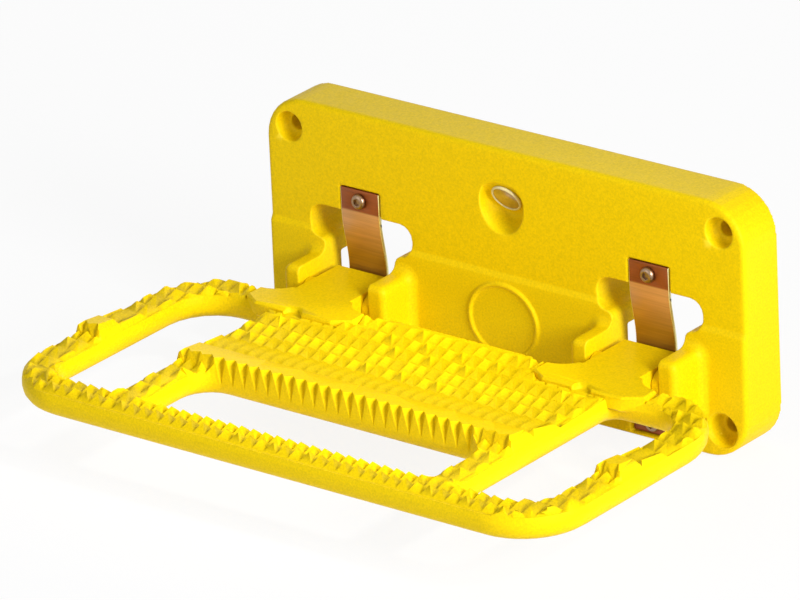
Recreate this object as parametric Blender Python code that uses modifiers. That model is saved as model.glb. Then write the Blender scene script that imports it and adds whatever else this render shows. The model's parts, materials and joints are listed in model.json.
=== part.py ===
"""Fold-down step for a wall or a vehicle body.

A cast back plate carries two hinges. An open cast tread turns on them, from
level up to upright. A leaf spring in each hinge window holds it at either end.
The origin is the centre of the plate's back. X is the width, -Y points out
from the wall and Z is up.
"""

import math

import bmesh
import bpy
from mathutils import Matrix, Vector

MM = 0.001

# Clearances
SEAT_GAP = 0.3 * MM
PIN_CLEARANCE = 0.3 * MM
OVERCUT = 2 * MM

# Back plate
PLATE_WIDTH = 254 * MM
PLATE_HEIGHT = 116 * MM
PLATE_CORNER_RADIUS = 20 * MM
PLATE_THICKNESS = 23.8 * MM
LOWER_ZONE_STEP = 1.3 * MM
LOWER_ZONE_TAPER = 0.5 * MM
CREASE_Z = 0 * MM
CREASE_BAND = 2.5 * MM
PLATE_EDGE_RADIUS = 2 * MM
PLATE_WALL = 5 * MM
PLATE_FACE_WALL = 6 * MM
CORE_CORNER_RADIUS = 3 * MM
CORE_RIB = 4 * MM
CENTRE_WEB = 27 * MM

# Mounting holes at the plate's corners
MOUNT_HOLE_SPACING_X = 228.6 * MM
MOUNT_HOLE_TOP_Z = 44.5 * MM
MOUNT_HOLE_BOTTOM_Z = -44.9 * MM
MOUNT_HOLE_DIAMETER = 7 * MM
COUNTERSINK_DIAMETER = 13.8 * MM
COUNTERSINK_ANGLE = math.radians(90)
MOUNT_BOSS_WALL = 6 * MM

# Hinges
HINGE_SPACING = 154.1 * MM
HINGE_AXIS_Y = -38.5 * MM
HINGE_AXIS_Z = -22.8 * MM
HINGE_GAP_WIDTH = 37.8 * MM
CHEEK_THICKNESS = 8.7 * MM
CHEEK_TOP_Z = -10.1 * MM
CHEEK_BOTTOM_Z = -42 * MM
CHEEK_FRONT_WALL = 3.3 * MM
CHEEK_FRONT_RADIUS = 3 * MM
CHEEK_CORNER_RADIUS = 3.6 * MM
CHEEK_FOOT_RADIUS = 4.5 * MM
CHEEK_ROOT = 3 * MM
PIN_DIAMETER = 6.35 * MM
PIN_BLIND_WALL = 3 * MM
BUSH_DIAMETER = 12.4 * MM

# Windows behind the hinges
WINDOW_WING_WIDTH = 55.2 * MM
WINDOW_WING_TOP_Z = 11.4 * MM
WINDOW_WING_BOTTOM_Z = -3.5 * MM
WINDOW_BOTTOM_Z = -44.5 * MM
WINDOW_WING_RADIUS = 6.5 * MM
WINDOW_CORNER_RADIUS = 3 * MM
RELIEF_SIDE = 13 * MM
RELIEF_DEPTH = 14.4 * MM
RELIEF_TOP_Z = -12.4 * MM

# Leaf springs
SPRING_WIDTH = 20.7 * MM
SPRING_THICKNESS = 1.6 * MM
SPRING_TOP_Z = 22.5 * MM
SPRING_BOTTOM_Z = -55.7 * MM
SPRING_FLAT = 10.5 * MM
SPRING_BOW = 3.5 * MM
SPRING_SIDE_CLEARANCE = 0.6 * MM
SPRING_SCREW_OFFSET = 4.9 * MM
SPRING_SCREW_DIAMETER = 4 * MM
SPRING_SCREW_HEAD_DIAMETER = 7 * MM
SPRING_SCREW_HEAD_HEIGHT = 2.2 * MM
SPRING_SCREW_LENGTH = 12 * MM
SPRING_SCREW_SOCKET = 2.5 * MM

# Lamp in the plate, tilted down at the tread
LAMP_Y = -19.2 * MM
LAMP_Z = 34.7 * MM
LAMP_TILT = math.radians(30)
LAMP_SCOOP_DIAMETER = 23 * MM
LAMP_SCOOP_ROUND = 3 * MM
LAMP_BORE_DIAMETER = 12.6 * MM
LAMP_RIM_DIAMETER = 14.6 * MM
LAMP_RIM_HEIGHT = 1.2 * MM
LAMP_SLEEVE_WALL = 1 * MM
LAMP_SLEEVE_LENGTH = 9 * MM
LAMP_LENS_THICKNESS = 2 * MM
LAMP_LENS_DOME = 0.9 * MM
LAMP_BOARD_THICKNESS = 1.2 * MM
LAMP_BODY_LENGTH = 6 * MM

# Tread
TREAD_WIDTH = 291.8 * MM
TREAD_FRONT_Y = -192.8 * MM
TREAD_REAR_Y = -53.4 * MM
TREAD_THICKNESS = 16.1 * MM
TREAD_EDGE_RADIUS = 7.2 * MM
TREAD_BAR_WIDTH = 16 * MM
TREAD_REAR_BAR_WIDTH = 16.1 * MM
TREAD_FRONT_CORNER_RADIUS = 32 * MM
TREAD_REAR_CORNER_RADIUS = 36 * MM
OPENING_REAR_RADIUS = 18 * MM
STRUT_WIDTH = 14.8 * MM
PLATFORM_WIDTH = 180.8 * MM
PLATFORM_FRONT_Y = -136.8 * MM
SLOT_REAR_RADIUS = 10 * MM
SLOT_CORNER_RADIUS = 3 * MM

# Teeth on top of the tread, in heights above its middle
TOOTH_PITCH = 6.27 * MM
TOOTH_DEPTH = 2.4 * MM
ROW_PITCH = 9.95 * MM
REAR_TIP = 7 * MM
NOSE_TIP = 10.5 * MM
FRONT_TIP = 7.35 * MM
RAMP_LENGTH = 31.3 * MM
RIDGE_LENGTH = 16.7 * MM
STEP_LENGTH = 0.3 * MM
CROSS_GROOVE_WIDTH = 8.8 * MM
FRONT_GROOVE_WIDTH = 5.6 * MM
FRONT_GROOVE_Y = -190.6 * MM
FLUTE_DEPTH = 2.8 * MM
FLUTE_BOTTOM = -3 * MM
NOSE_LENGTH = 9 * MM

# Hinge necks and pads of the tread
NECK_WIDTH = 29.2 * MM
NECK_HEEL_RADIUS = 17.4 * MM
PAD_TOP = 7 * MM
PAD_WIDTH = 58 * MM
PAD_LENGTH = 20.1 * MM
PAD_CORNER_WIDTH = 8.4 * MM
PAD_CORNER_LENGTH = 5.3 * MM
PAD_CHAMFER = 1 * MM
PAD_FLOOR = 4.4 * MM
PAD_MARGIN = 0.8 * MM
PAD_SCALLOP_RADIUS = 5 * MM
CHEEK_NOTCH_RADIUS = 14 * MM
CHEEK_NOTCH_REACH = 14.2 * MM
CHEEK_NOTCH_ROUNDING = 0.98
SEAM = 0.02 * MM

PAINT = (0.80, 0.53, 0.005, 1)
SPRING_BROWN = (0.30, 0.08, 0.012, 1)
STEEL = (0.62, 0.55, 0.50, 1)
ZINC = (0.55, 0.56, 0.58, 1)
NYLON = (0.03, 0.03, 0.03, 1)
RIM_GREY = (0.55, 0.52, 0.42, 1)
LENS_GREY = (0.20, 0.17, 0.10, 1)
BOARD_WHITE = (0.75, 0.75, 0.70, 1)

SIDES = {"left": -1, "right": 1}


def clear_scene():
    for obj in list(bpy.data.objects):
        bpy.data.objects.remove(obj, do_unlink=True)


def new_collection(name):
    collection = bpy.data.collections.new(name)
    bpy.context.scene.collection.children.link(collection)
    return collection


def new_material(name, colour, roughness, metallic):
    material = bpy.data.materials.new(name)
    material.use_nodes = True
    shader = material.node_tree.nodes["Principled BSDF"]
    shader.inputs["Base Color"].default_value = colour
    shader.inputs["Roughness"].default_value = roughness
    shader.inputs["Metallic"].default_value = metallic
    return material


def linked_object(name, mesh, collection):
    obj = bpy.data.objects.new(name, mesh)
    collection.objects.link(obj)
    return obj


def as_cutter(obj):
    obj.hide_render = True
    obj.display_type = "WIRE"
    return obj


def filleted(corners, steps=6):
    """Outline through corners (x, y, radius), each rounded by an arc."""
    outline = []
    for index, (x, y, radius) in enumerate(corners):
        here = Vector((x, y))
        before = Vector(corners[index - 1][:2]) - here
        after = Vector(corners[(index + 1) % len(corners)][:2]) - here
        if radius <= 0:
            outline.append(here)
            continue
        half = before.angle(after) / 2
        reach = radius / math.tan(half)
        start = here + before.normalized() * reach
        end = here + after.normalized() * reach
        inward = (before.normalized() + after.normalized()).normalized()
        centre = here + inward * (radius / math.sin(half))
        turn = (start - centre).angle_signed(end - centre)
        for step in range(steps + 1):
            arm = Matrix.Rotation(-turn * step / steps, 2) @ (start - centre)
            outline.append(centre + arm)
    return outline


def mirrored(corners):
    """The corners and their mirror image across x = 0, as one outline."""
    return corners + [(-x, y, radius) for x, y, radius in reversed(corners)]


def rectangle(x_low, x_high, y_low, y_high, radius=0.0):
    return [
        (x_low, y_low, radius),
        (x_high, y_low, radius),
        (x_high, y_high, radius),
        (x_low, y_high, radius),
    ]


def extruded(name, outlines, low, high, collection, placing=None, rounding=0.0, rings=3):
    """A flat outline with holes, made a solid from low to high along its normal."""
    curve = bpy.data.curves.new(name, "CURVE")
    curve.dimensions = "2D"
    curve.fill_mode = "BOTH"
    curve.extrude = (high - low) / 2 - rounding
    curve.bevel_depth = rounding
    curve.bevel_resolution = rings
    curve.offset = -rounding
    for outline in outlines:
        spline = curve.splines.new("POLY")
        spline.points.add(len(outline) - 1)
        for point, place in zip(spline.points, outline):
            point.co = (place[0], place[1], 0, 1)
        spline.use_cyclic_u = True
    source = linked_object(name + "_outline", curve, collection)
    graph = bpy.context.evaluated_depsgraph_get()
    mesh = bpy.data.meshes.new_from_object(source.evaluated_get(graph))
    bpy.data.objects.remove(source)
    mesh.transform(Matrix.Translation((0, 0, (low + high) / 2)))
    if placing is not None:
        mesh.transform(placing)
    tidy = bmesh.new()
    tidy.from_mesh(mesh)
    bmesh.ops.remove_doubles(tidy, verts=tidy.verts, dist=1e-6)
    bmesh.ops.recalc_face_normals(tidy, faces=tidy.faces)
    tidy.to_mesh(mesh)
    tidy.free()
    mesh.name = name
    return linked_object(name, mesh, collection)


# Outlines are drawn in two axes and stand along the third.
FROM_FRONT = Matrix(((1, 0, 0, 0), (0, 0, 1, 0), (0, 1, 0, 0), (0, 0, 0, 1)))
FROM_SIDE = Matrix(((0, 0, 1, 0), (1, 0, 0, 0), (0, 1, 0, 0), (0, 0, 0, 1)))


def turned(name, profile, collection, segments=32, placing=None, ring=False):
    """A solid of revolution about Z through (radius, height) points, top to bottom.

    A ring's last point is joined to its first.
    """
    mesh = bpy.data.meshes.new(name)
    rows = [Vector((radius, 0, height)) for radius, height in profile]
    links = [(i, i + 1) for i in range(len(rows) - 1)]
    if ring:
        links.append((len(rows) - 1, 0))
    mesh.from_pydata(rows, links, [])
    obj = linked_object(name, mesh, collection)
    screw = obj.modifiers.new("Turn", "SCREW")
    screw.steps = segments
    screw.render_steps = segments
    screw.use_merge_vertices = True
    screw.merge_threshold = 1e-6
    if placing is not None:
        obj.matrix_world = placing
    return obj


def baked(obj):
    """The object with its modifiers and its place worked into its mesh."""
    bpy.context.view_layer.update()
    graph = bpy.context.evaluated_depsgraph_get()
    mesh = bpy.data.meshes.new_from_object(obj.evaluated_get(graph))
    mesh.transform(obj.matrix_world)
    obj.modifiers.clear()
    obj.data = mesh
    obj.matrix_world = Matrix()
    return obj


def boolean(obj, other, operation="DIFFERENCE"):
    modifier = obj.modifiers.new(other.name, "BOOLEAN")
    modifier.operation = operation
    modifier.object = other
    modifier.solver = "EXACT"
    as_cutter(other)
    return obj


def lofted(name, loops, collection):
    """A solid through loops with the same number of points, capped at both ends."""
    tidy = bmesh.new()
    rows = [[tidy.verts.new(point) for point in loop] for loop in loops]
    for low, high in zip(rows, rows[1:]):
        for index in range(len(low)):
            tidy.faces.new((low[index - 1], low[index], high[index], high[index - 1]))
    tidy.faces.new(rows[0])
    tidy.faces.new(rows[-1])
    bmesh.ops.recalc_face_normals(tidy, faces=tidy.faces)
    mesh = bpy.data.meshes.new(name)
    tidy.to_mesh(mesh)
    tidy.free()
    return linked_object(name, mesh, collection)


def bent(obj, axis, creases, shift):
    """Splits the mesh across an axis at the creases, then moves every point by shift."""
    tidy = bmesh.new()
    tidy.from_mesh(obj.data)
    normal = Vector((0, 0, 0))
    normal[axis] = 1
    for crease in creases:
        parts = tidy.verts[:] + tidy.edges[:] + tidy.faces[:]
        bmesh.ops.bisect_plane(
            tidy, geom=parts, dist=1e-7, plane_co=normal * crease, plane_no=normal
        )
    for point in tidy.verts:
        point.co += shift(point.co)
    bmesh.ops.triangulate(tidy, faces=tidy.faces)
    tidy.to_mesh(obj.data)
    tidy.free()
    return obj


def finish(obj, material, smooth_angle=math.radians(35)):
    obj.data.materials.clear()
    obj.data.materials.append(material)
    obj.data.shade_smooth()
    obj.data.set_sharp_from_angle(angle=smooth_angle)
    return obj


def hinge_centre(side):
    return SIDES[side] * HINGE_SPACING / 2


def spring_face_y():
    """Front of a leaf spring's flat ends, level with the upper plate face."""
    return -PLATE_THICKNESS


# Back plate


def lower_zone_rise(z):
    """How far the plate's lower zone stands out beyond the upper one."""
    top = CREASE_Z + CREASE_BAND / 2
    bottom = CREASE_Z - CREASE_BAND / 2
    if z > bottom:
        return LOWER_ZONE_STEP * max(0, (top - z) / CREASE_BAND)
    return LOWER_ZONE_STEP + LOWER_ZONE_TAPER * (bottom - z) / (bottom + PLATE_HEIGHT / 2)


def plate_blank(collection, cutters):
    half = PLATE_WIDTH / 2
    top = PLATE_HEIGHT / 2
    outline = filleted(rectangle(-half, half, -top, top, PLATE_CORNER_RADIUS), 8)
    plate = extruded(
        "base_plate",
        [outline],
        -PLATE_THICKNESS,
        PLATE_EDGE_RADIUS + OVERCUT,
        collection,
        FROM_FRONT,
        PLATE_EDGE_RADIUS,
        2,
    )

    def outwards(point):
        if point.y > -PLATE_THICKNESS / 2:
            return Vector((0, 0, 0))
        return Vector((0, -lower_zone_rise(point.z), 0))

    creases = [CREASE_Z - CREASE_BAND / 2, CREASE_Z + CREASE_BAND / 2]
    bent(plate, 2, creases, outwards)
    behind = rectangle(-2 * half, 2 * half, -2 * top, 2 * top)
    wall = extruded("wall", [filleted(behind)], 0, PLATE_THICKNESS, cutters, FROM_FRONT)
    return boolean(plate, wall)


def cheek_loop(centre, y, grow):
    """A hinge block's outline at one distance from the wall."""
    half = HINGE_GAP_WIDTH / 2 + CHEEK_THICKNESS + grow
    corners = rectangle(
        centre - half,
        centre + half,
        CHEEK_BOTTOM_Z - grow,
        CHEEK_TOP_Z + grow,
        CHEEK_CORNER_RADIUS + grow,
    )
    return [Vector((x, y, z)) for x, z in filleted(corners, 4)]


def cheek_block(side, collection):
    """Both cheeks of a hinge as one block, faired into the plate at the foot."""
    centre = hinge_centre(side)
    face = -PLATE_THICKNESS - lower_zone_rise(CHEEK_TOP_Z)
    front = HINGE_AXIS_Y - PIN_DIAMETER / 2 - CHEEK_FRONT_WALL
    foot = CHEEK_FOOT_RADIUS
    nose = CHEEK_FRONT_RADIUS
    loops = [cheek_loop(centre, face + CHEEK_ROOT, foot)]
    steps = 4
    for step in range(steps + 1):
        turn = math.pi / 2 * step / steps
        y = face - foot * (1 - math.cos(turn))
        loops.append(cheek_loop(centre, y, foot * (1 - math.sin(turn))))
    for step in range(steps + 1):
        turn = math.pi / 2 * step / steps
        y = front + nose * (1 - math.sin(turn))
        loops.append(cheek_loop(centre, y, -nose * (1 - math.cos(turn))))
    return lofted(f"cheeks_{side}", loops, collection)


def window_cutter(side, cutters):
    """The hinge window, and with it the inner faces of the two cheeks."""
    centre = hinge_centre(side)
    wing = WINDOW_WING_WIDTH / 2
    gap = HINGE_GAP_WIDTH / 2
    half_outline = [
        (gap, WINDOW_BOTTOM_Z, WINDOW_CORNER_RADIUS),
        (gap, WINDOW_WING_BOTTOM_Z, WINDOW_CORNER_RADIUS),
        (wing, WINDOW_WING_BOTTOM_Z, WINDOW_WING_RADIUS),
        (wing, WINDOW_WING_TOP_Z, WINDOW_WING_RADIUS),
    ]
    outline = filleted(mirrored(half_outline), 4)
    far = 2 * HINGE_AXIS_Y
    cutter = extruded(f"window_{side}", [outline], far, OVERCUT, cutters, FROM_FRONT)
    cutter.data.transform(Matrix.Translation((centre, 0, 0)))
    return cutter


def relief_cutter(side, cutters):
    """Thins the plate from behind, round the lower part of the window."""
    centre = hinge_centre(side)
    half = HINGE_GAP_WIDTH / 2 + RELIEF_SIDE
    corners = rectangle(
        centre - half, centre + half, WINDOW_BOTTOM_Z, RELIEF_TOP_Z, CORE_CORNER_RADIUS
    )
    name = f"relief_{side}"
    return extruded(name, [filleted(corners, 3)], -RELIEF_DEPTH, OVERCUT, cutters, FROM_FRONT)


def spring_seat_cutters(side, cutters):
    """Shallow seats for the spring's two flat ends, above and below the window."""
    centre = hinge_centre(side)
    half = SPRING_WIDTH / 2 + SPRING_SIDE_CLEARANCE
    floor = spring_face_y() + SPRING_THICKNESS + SEAT_GAP
    spans = {
        "upper": (WINDOW_WING_TOP_Z - OVERCUT, SPRING_TOP_Z + SPRING_SIDE_CLEARANCE),
        "lower": (SPRING_BOTTOM_Z - SPRING_SIDE_CLEARANCE, WINDOW_BOTTOM_Z + OVERCUT),
    }
    seats = []
    for level, (low, high) in spans.items():
        outline = filleted(rectangle(centre - half, centre + half, low, high))
        name = f"spring_seat_{side}_{level}"
        seats.append(extruded(name, [outline], 2 * HINGE_AXIS_Y, floor, cutters, FROM_FRONT))
    return seats


def spring_screw_z(level):
    if level == "upper":
        return SPRING_TOP_Z - SPRING_SCREW_OFFSET
    return SPRING_BOTTOM_Z + SPRING_SCREW_OFFSET


def along_y(x, y, z):
    """Places a turned solid with its top towards -Y."""
    return Matrix.Translation((x, y, z)) @ Matrix.Rotation(math.radians(90), 4, "X")


def along_x(x, y, z):
    """Places a turned solid with its top towards +X."""
    return Matrix.Translation((x, y, z)) @ Matrix.Rotation(math.radians(90), 4, "Y")


def cylinder_profile(radius, bottom, top):
    return [(0, top), (radius, top), (radius, bottom), (0, bottom)]


def screw_hole_cutter(side, level, cutters):
    radius = SPRING_SCREW_DIAMETER / 2 + SEAT_GAP
    depth = SPRING_SCREW_LENGTH + OVERCUT
    place = along_y(hinge_centre(side), spring_face_y(), spring_screw_z(level))
    profile = cylinder_profile(radius, -depth, OVERCUT)
    return turned(f"screw_hole_{side}_{level}", profile, cutters, 16, place)


def pin_bore_cutter(side, cutters):
    """Open on the hinge's left side and blind in its right cheek."""
    half = HINGE_GAP_WIDTH / 2 + CHEEK_THICKNESS
    radius = PIN_DIAMETER / 2 + PIN_CLEARANCE
    profile = cylinder_profile(radius, -half - OVERCUT, half - PIN_BLIND_WALL)
    place = along_x(hinge_centre(side), HINGE_AXIS_Y, HINGE_AXIS_Z)
    return turned(f"pin_bore_{side}", profile, cutters, 24, place)


def mount_holes():
    half = MOUNT_HOLE_SPACING_X / 2
    return [(x, z) for x in (-half, half) for z in (MOUNT_HOLE_TOP_Z, MOUNT_HOLE_BOTTOM_Z)]


def mount_hole_cutter(index, x, z, cutters):
    """A countersunk through hole."""
    bore = MOUNT_HOLE_DIAMETER / 2
    sink = COUNTERSINK_DIAMETER / 2
    face = PLATE_THICKNESS + lower_zone_rise(z)
    spread = math.tan(COUNTERSINK_ANGLE / 2)
    depth = (sink - bore) / spread
    profile = [
        (0, face + OVERCUT),
        (sink + OVERCUT * spread, face + OVERCUT),
        (bore, face - depth),
        (bore, -OVERCUT),
        (0, -OVERCUT),
    ]
    return turned(f"mount_hole_{index}", profile, cutters, 24, along_y(x, 0, z))


def lamp_place():
    """At the lamp's seat, with +Z along the beam: out from the plate and down."""
    place = Matrix.Translation((0, LAMP_Y, LAMP_Z))
    return place @ Matrix.Rotation(math.radians(90) + LAMP_TILT, 4, "X")


def lamp_scoop_cutter(cutters):
    radius = LAMP_SCOOP_DIAMETER / 2
    steps = 3
    corner = [
        (
            radius - LAMP_SCOOP_ROUND * (1 - math.cos(math.pi / 2 * i / steps)),
            LAMP_SCOOP_ROUND * (1 - math.sin(math.pi / 2 * i / steps)),
        )
        for i in range(steps + 1)
    ]
    profile = [(0, LAMP_SCOOP_DIAMETER), (radius, LAMP_SCOOP_DIAMETER)] + corner + [(0, 0)]
    return turned("lamp_scoop", profile, cutters, 32, lamp_place())


def lamp_bore_cutter(cutters):
    profile = cylinder_profile(LAMP_BORE_DIAMETER / 2, -2 * PLATE_THICKNESS, OVERCUT)
    return turned("lamp_bore", profile, cutters, 24, lamp_place())


def spread(low, high, count):
    """Equal spans from low to high with a rib between each two."""
    size = (high - low - (count - 1) * CORE_RIB) / count
    starts = [low + index * (size + CORE_RIB) for index in range(count)]
    return [(start, start + size) for start in starts]


def core_outlines():
    """The hollows cast into the plate's back, left out round whatever needs metal."""
    top = PLATE_HEIGHT / 2 - PLATE_WALL
    hinge = HINGE_SPACING / 2
    relief = HINGE_GAP_WIDTH / 2 + RELIEF_SIDE + CORE_RIB
    boss = MOUNT_HOLE_DIAMETER / 2 + MOUNT_BOSS_WALL
    corner = MOUNT_HOLE_SPACING_X / 2 - boss
    above = SPRING_TOP_Z + PLATE_WALL
    side_low = MOUNT_HOLE_BOTTOM_Z + boss
    side_high = MOUNT_HOLE_TOP_Z - boss
    outlines = []
    for low, high in spread(-top, top, 4):
        outlines.append((CENTRE_WEB / 2, hinge - relief, low, high))
    for left, right in spread(hinge - relief + CORE_RIB, corner - CORE_RIB, 2):
        outlines.append((left, right, above, top))
    for low, high in spread(side_low, side_high, 3):
        outlines.append((hinge + relief, PLATE_WIDTH / 2 - PLATE_WALL, low, high))
    return outlines


def core_cutters(cutters):
    floor = -PLATE_THICKNESS + PLATE_FACE_WALL
    made = []
    for hand in (-1, 1):
        for index, (left, right, low, high) in enumerate(core_outlines()):
            x_low, x_high = sorted((hand * left, hand * right))
            corners = rectangle(x_low, x_high, low, high, CORE_CORNER_RADIUS)
            name = f"core_{'right' if hand > 0 else 'left'}_{index}"
            outline = filleted(corners, 2)
            made.append(extruded(name, [outline], floor, OVERCUT, cutters, FROM_FRONT))
    return made


def build_base_plate(collection, cutters, material):
    plate = plate_blank(collection, cutters)
    for side in SIDES:
        boolean(plate, cheek_block(side, cutters), "UNION")
    cuts = [lamp_scoop_cutter(cutters), lamp_bore_cutter(cutters)]
    for side in SIDES:
        cuts.append(window_cutter(side, cutters))
        cuts.append(relief_cutter(side, cutters))
        cuts += spring_seat_cutters(side, cutters)
        cuts += [screw_hole_cutter(side, level, cutters) for level in ("upper", "lower")]
        cuts.append(pin_bore_cutter(side, cutters))
    for index, (x, z) in enumerate(mount_holes()):
        cuts.append(mount_hole_cutter(index, x, z, cutters))
    cuts += core_cutters(cutters)
    for cut in cuts:
        boolean(plate, cut)
    return finish(baked(plate), material)


# Hinge pins and bushes


def build_hinge(side, collection, steel, nylon):
    centre = hinge_centre(side)
    place = along_x(centre, HINGE_AXIS_Y, HINGE_AXIS_Z)
    half = HINGE_GAP_WIDTH / 2 + CHEEK_THICKNESS
    radius = PIN_DIAMETER / 2
    chamfer = 0.5 * MM
    bottom = -half + SEAT_GAP
    top = half - PIN_BLIND_WALL - SEAT_GAP
    profile = [
        (0, top),
        (radius - chamfer, top),
        (radius, top - chamfer),
        (radius, bottom + chamfer),
        (radius - chamfer, bottom),
        (0, bottom),
    ]
    pin = turned(f"hinge_pin_{side}", profile, collection, 24, place)
    finish(baked(pin), steel)
    bore = PIN_DIAMETER / 2 + PIN_CLEARANCE
    rim = BUSH_DIAMETER / 2
    near = NECK_WIDTH / 2 + SEAT_GAP
    far = HINGE_GAP_WIDTH / 2 - SEAT_GAP
    for hand, label in ((-1, "a"), (1, "b")):
        low, high = sorted((hand * near, hand * far))
        ring = [(bore, high), (rim, high), (rim, low), (bore, low)]
        bush = turned(f"hinge_bush_{side}_{label}", ring, collection, 24, place, True)
        finish(baked(bush), nylon)


# Leaf springs and their screws


def spring_line(steps=16):
    """(y, z) along the spring's front, flat at the ends and bowed back between."""
    top = SPRING_TOP_Z - SPRING_FLAT
    bottom = SPRING_BOTTOM_Z + SPRING_FLAT
    line = [(spring_face_y(), SPRING_TOP_Z)]
    for step in range(steps + 1):
        share = step / steps
        bow = SPRING_BOW * (1 - math.cos(2 * math.pi * share)) / 2
        line.append((spring_face_y() + bow, top + (bottom - top) * share))
    line.append((spring_face_y(), SPRING_BOTTOM_Z))
    return line


def build_leaf_spring(side, collection, cutters, material):
    front = spring_line()
    back = [(y + SPRING_THICKNESS, z) for y, z in reversed(front)]
    centre = hinge_centre(side)
    half = SPRING_WIDTH / 2
    name = f"leaf_spring_{side}"
    outline = [Vector(point) for point in front + back]
    spring = extruded(name, [outline], centre - half, centre + half, collection, FROM_SIDE)
    for level in ("upper", "lower"):
        radius = SPRING_SCREW_DIAMETER / 2 + SEAT_GAP
        profile = cylinder_profile(radius, -OVERCUT - SPRING_THICKNESS, OVERCUT)
        place = along_y(centre, spring_face_y(), spring_screw_z(level))
        hole = turned(f"spring_hole_{side}_{level}", profile, cutters, 16, place)
        boolean(spring, hole)
    return finish(baked(spring), material)


def build_spring_screw(side, level, collection, cutters, material):
    """A button-head screw with a hexagon socket."""
    head = SPRING_SCREW_HEAD_DIAMETER / 2
    shank = SPRING_SCREW_DIAMETER / 2
    height = SPRING_SCREW_HEAD_HEIGHT
    steps = 4
    crown = [
        (
            head * math.sin(math.pi / 2 * (0.45 + 0.55 * i / steps)),
            SEAT_GAP + height * (0.25 + 0.75 * math.cos(math.pi / 2 * i / steps)),
        )
        for i in range(steps + 1)
    ]
    profile = (
        [(0, SEAT_GAP + height)]
        + crown
        + [(head, SEAT_GAP), (shank, SEAT_GAP), (shank, -SPRING_SCREW_LENGTH)]
        + [(0, -SPRING_SCREW_LENGTH)]
    )
    place = along_y(hinge_centre(side), spring_face_y(), spring_screw_z(level))
    screw = turned(f"spring_screw_{side}_{level}", profile, collection, 24, place)
    flat = SPRING_SCREW_SOCKET / 2 / math.cos(math.pi / 6)
    depth = SEAT_GAP + height * 0.3
    socket = turned(
        f"socket_{side}_{level}",
        cylinder_profile(flat, depth, height + OVERCUT),
        cutters,
        6,
        place,
    )
    boolean(screw, socket)
    return finish(baked(screw), material)


# Lamp


def build_lamp(collection, rim_material, lens_material, board_material, body_material):
    place = lamp_place()
    rim = LAMP_RIM_DIAMETER / 2
    sleeve = LAMP_BORE_DIAMETER / 2 - SEAT_GAP
    bore = sleeve - LAMP_SLEEVE_WALL
    rise = SEAT_GAP + LAMP_RIM_HEIGHT
    lens_face = SEAT_GAP + LAMP_RIM_HEIGHT / 2
    chamfer = 0.4 * MM
    bezel_profile = [
        (bore, rise),
        (rim - chamfer, rise),
        (rim, rise - chamfer),
        (rim, SEAT_GAP),
        (sleeve, SEAT_GAP),
        (sleeve, -LAMP_SLEEVE_LENGTH),
        (bore, -LAMP_SLEEVE_LENGTH),
    ]
    bezel = turned("lamp_bezel", bezel_profile, collection, 32, place, True)
    finish(baked(bezel), rim_material)
    glass = bore - SEAT_GAP
    steps = 4
    dome = [
        (
            glass * math.sin(math.pi / 2 * i / steps),
            lens_face + LAMP_LENS_DOME * math.cos(math.pi / 2 * i / steps),
        )
        for i in range(steps + 1)
    ]
    back = lens_face - LAMP_LENS_THICKNESS
    lens = turned("lamp_lens", dome + [(glass, back), (0, back)], collection, 32, place)
    finish(baked(lens), lens_material)
    board_top = back - SEAT_GAP
    board_back = board_top - LAMP_BOARD_THICKNESS
    board_profile = cylinder_profile(glass, board_back, board_top)
    board = turned("lamp_board", board_profile, collection, 24, place)
    finish(baked(board), board_material)
    body_top = board_back - SEAT_GAP
    body_profile = cylinder_profile(glass, body_top - LAMP_BODY_LENGTH, body_top)
    body = turned("lamp_body", body_profile, collection, 24, place)
    finish(baked(body), body_material)


# Tread


def tread_outline():
    half = TREAD_WIDTH / 2
    outer = [
        (half, TREAD_FRONT_Y, TREAD_FRONT_CORNER_RADIUS),
        (half, TREAD_REAR_Y, TREAD_REAR_CORNER_RADIUS),
    ]
    return filleted(mirrored(outer), 10)


def opening_corners():
    """The two side openings and the slot behind the front bar, by name."""
    bar_rear = TREAD_FRONT_Y + TREAD_BAR_WIDTH
    rail_front = TREAD_REAR_Y - TREAD_REAR_BAR_WIDTH
    arm = TREAD_WIDTH / 2 - TREAD_BAR_WIDTH
    platform = PLATFORM_WIDTH / 2
    side = [
        (platform, bar_rear, SLOT_CORNER_RADIUS),
        (arm, bar_rear, TREAD_FRONT_CORNER_RADIUS - TREAD_BAR_WIDTH),
        (arm, rail_front, OPENING_REAR_RADIUS),
        (platform, rail_front, SLOT_CORNER_RADIUS),
    ]
    slot = platform - STRUT_WIDTH
    centre_slot = [
        (-slot, bar_rear, SLOT_CORNER_RADIUS),
        (slot, bar_rear, SLOT_CORNER_RADIUS),
        (slot, PLATFORM_FRONT_Y, SLOT_REAR_RADIUS),
        (-slot, PLATFORM_FRONT_Y, SLOT_REAR_RADIUS),
    ]
    other_side = [(-x, y, radius) for x, y, radius in side]
    return {"opening_left": other_side, "opening_right": side, "slot": centre_slot}


def grown(corners, reach):
    """The corners of a rectangle moved outwards, their arcs kept concentric."""
    middle_x = sum(corner[0] for corner in corners) / len(corners)
    middle_y = sum(corner[1] for corner in corners) / len(corners)
    return [
        (
            x + math.copysign(reach, x - middle_x),
            y + math.copysign(reach, y - middle_y),
            radius + reach,
        )
        for x, y, radius in corners
    ]


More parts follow.
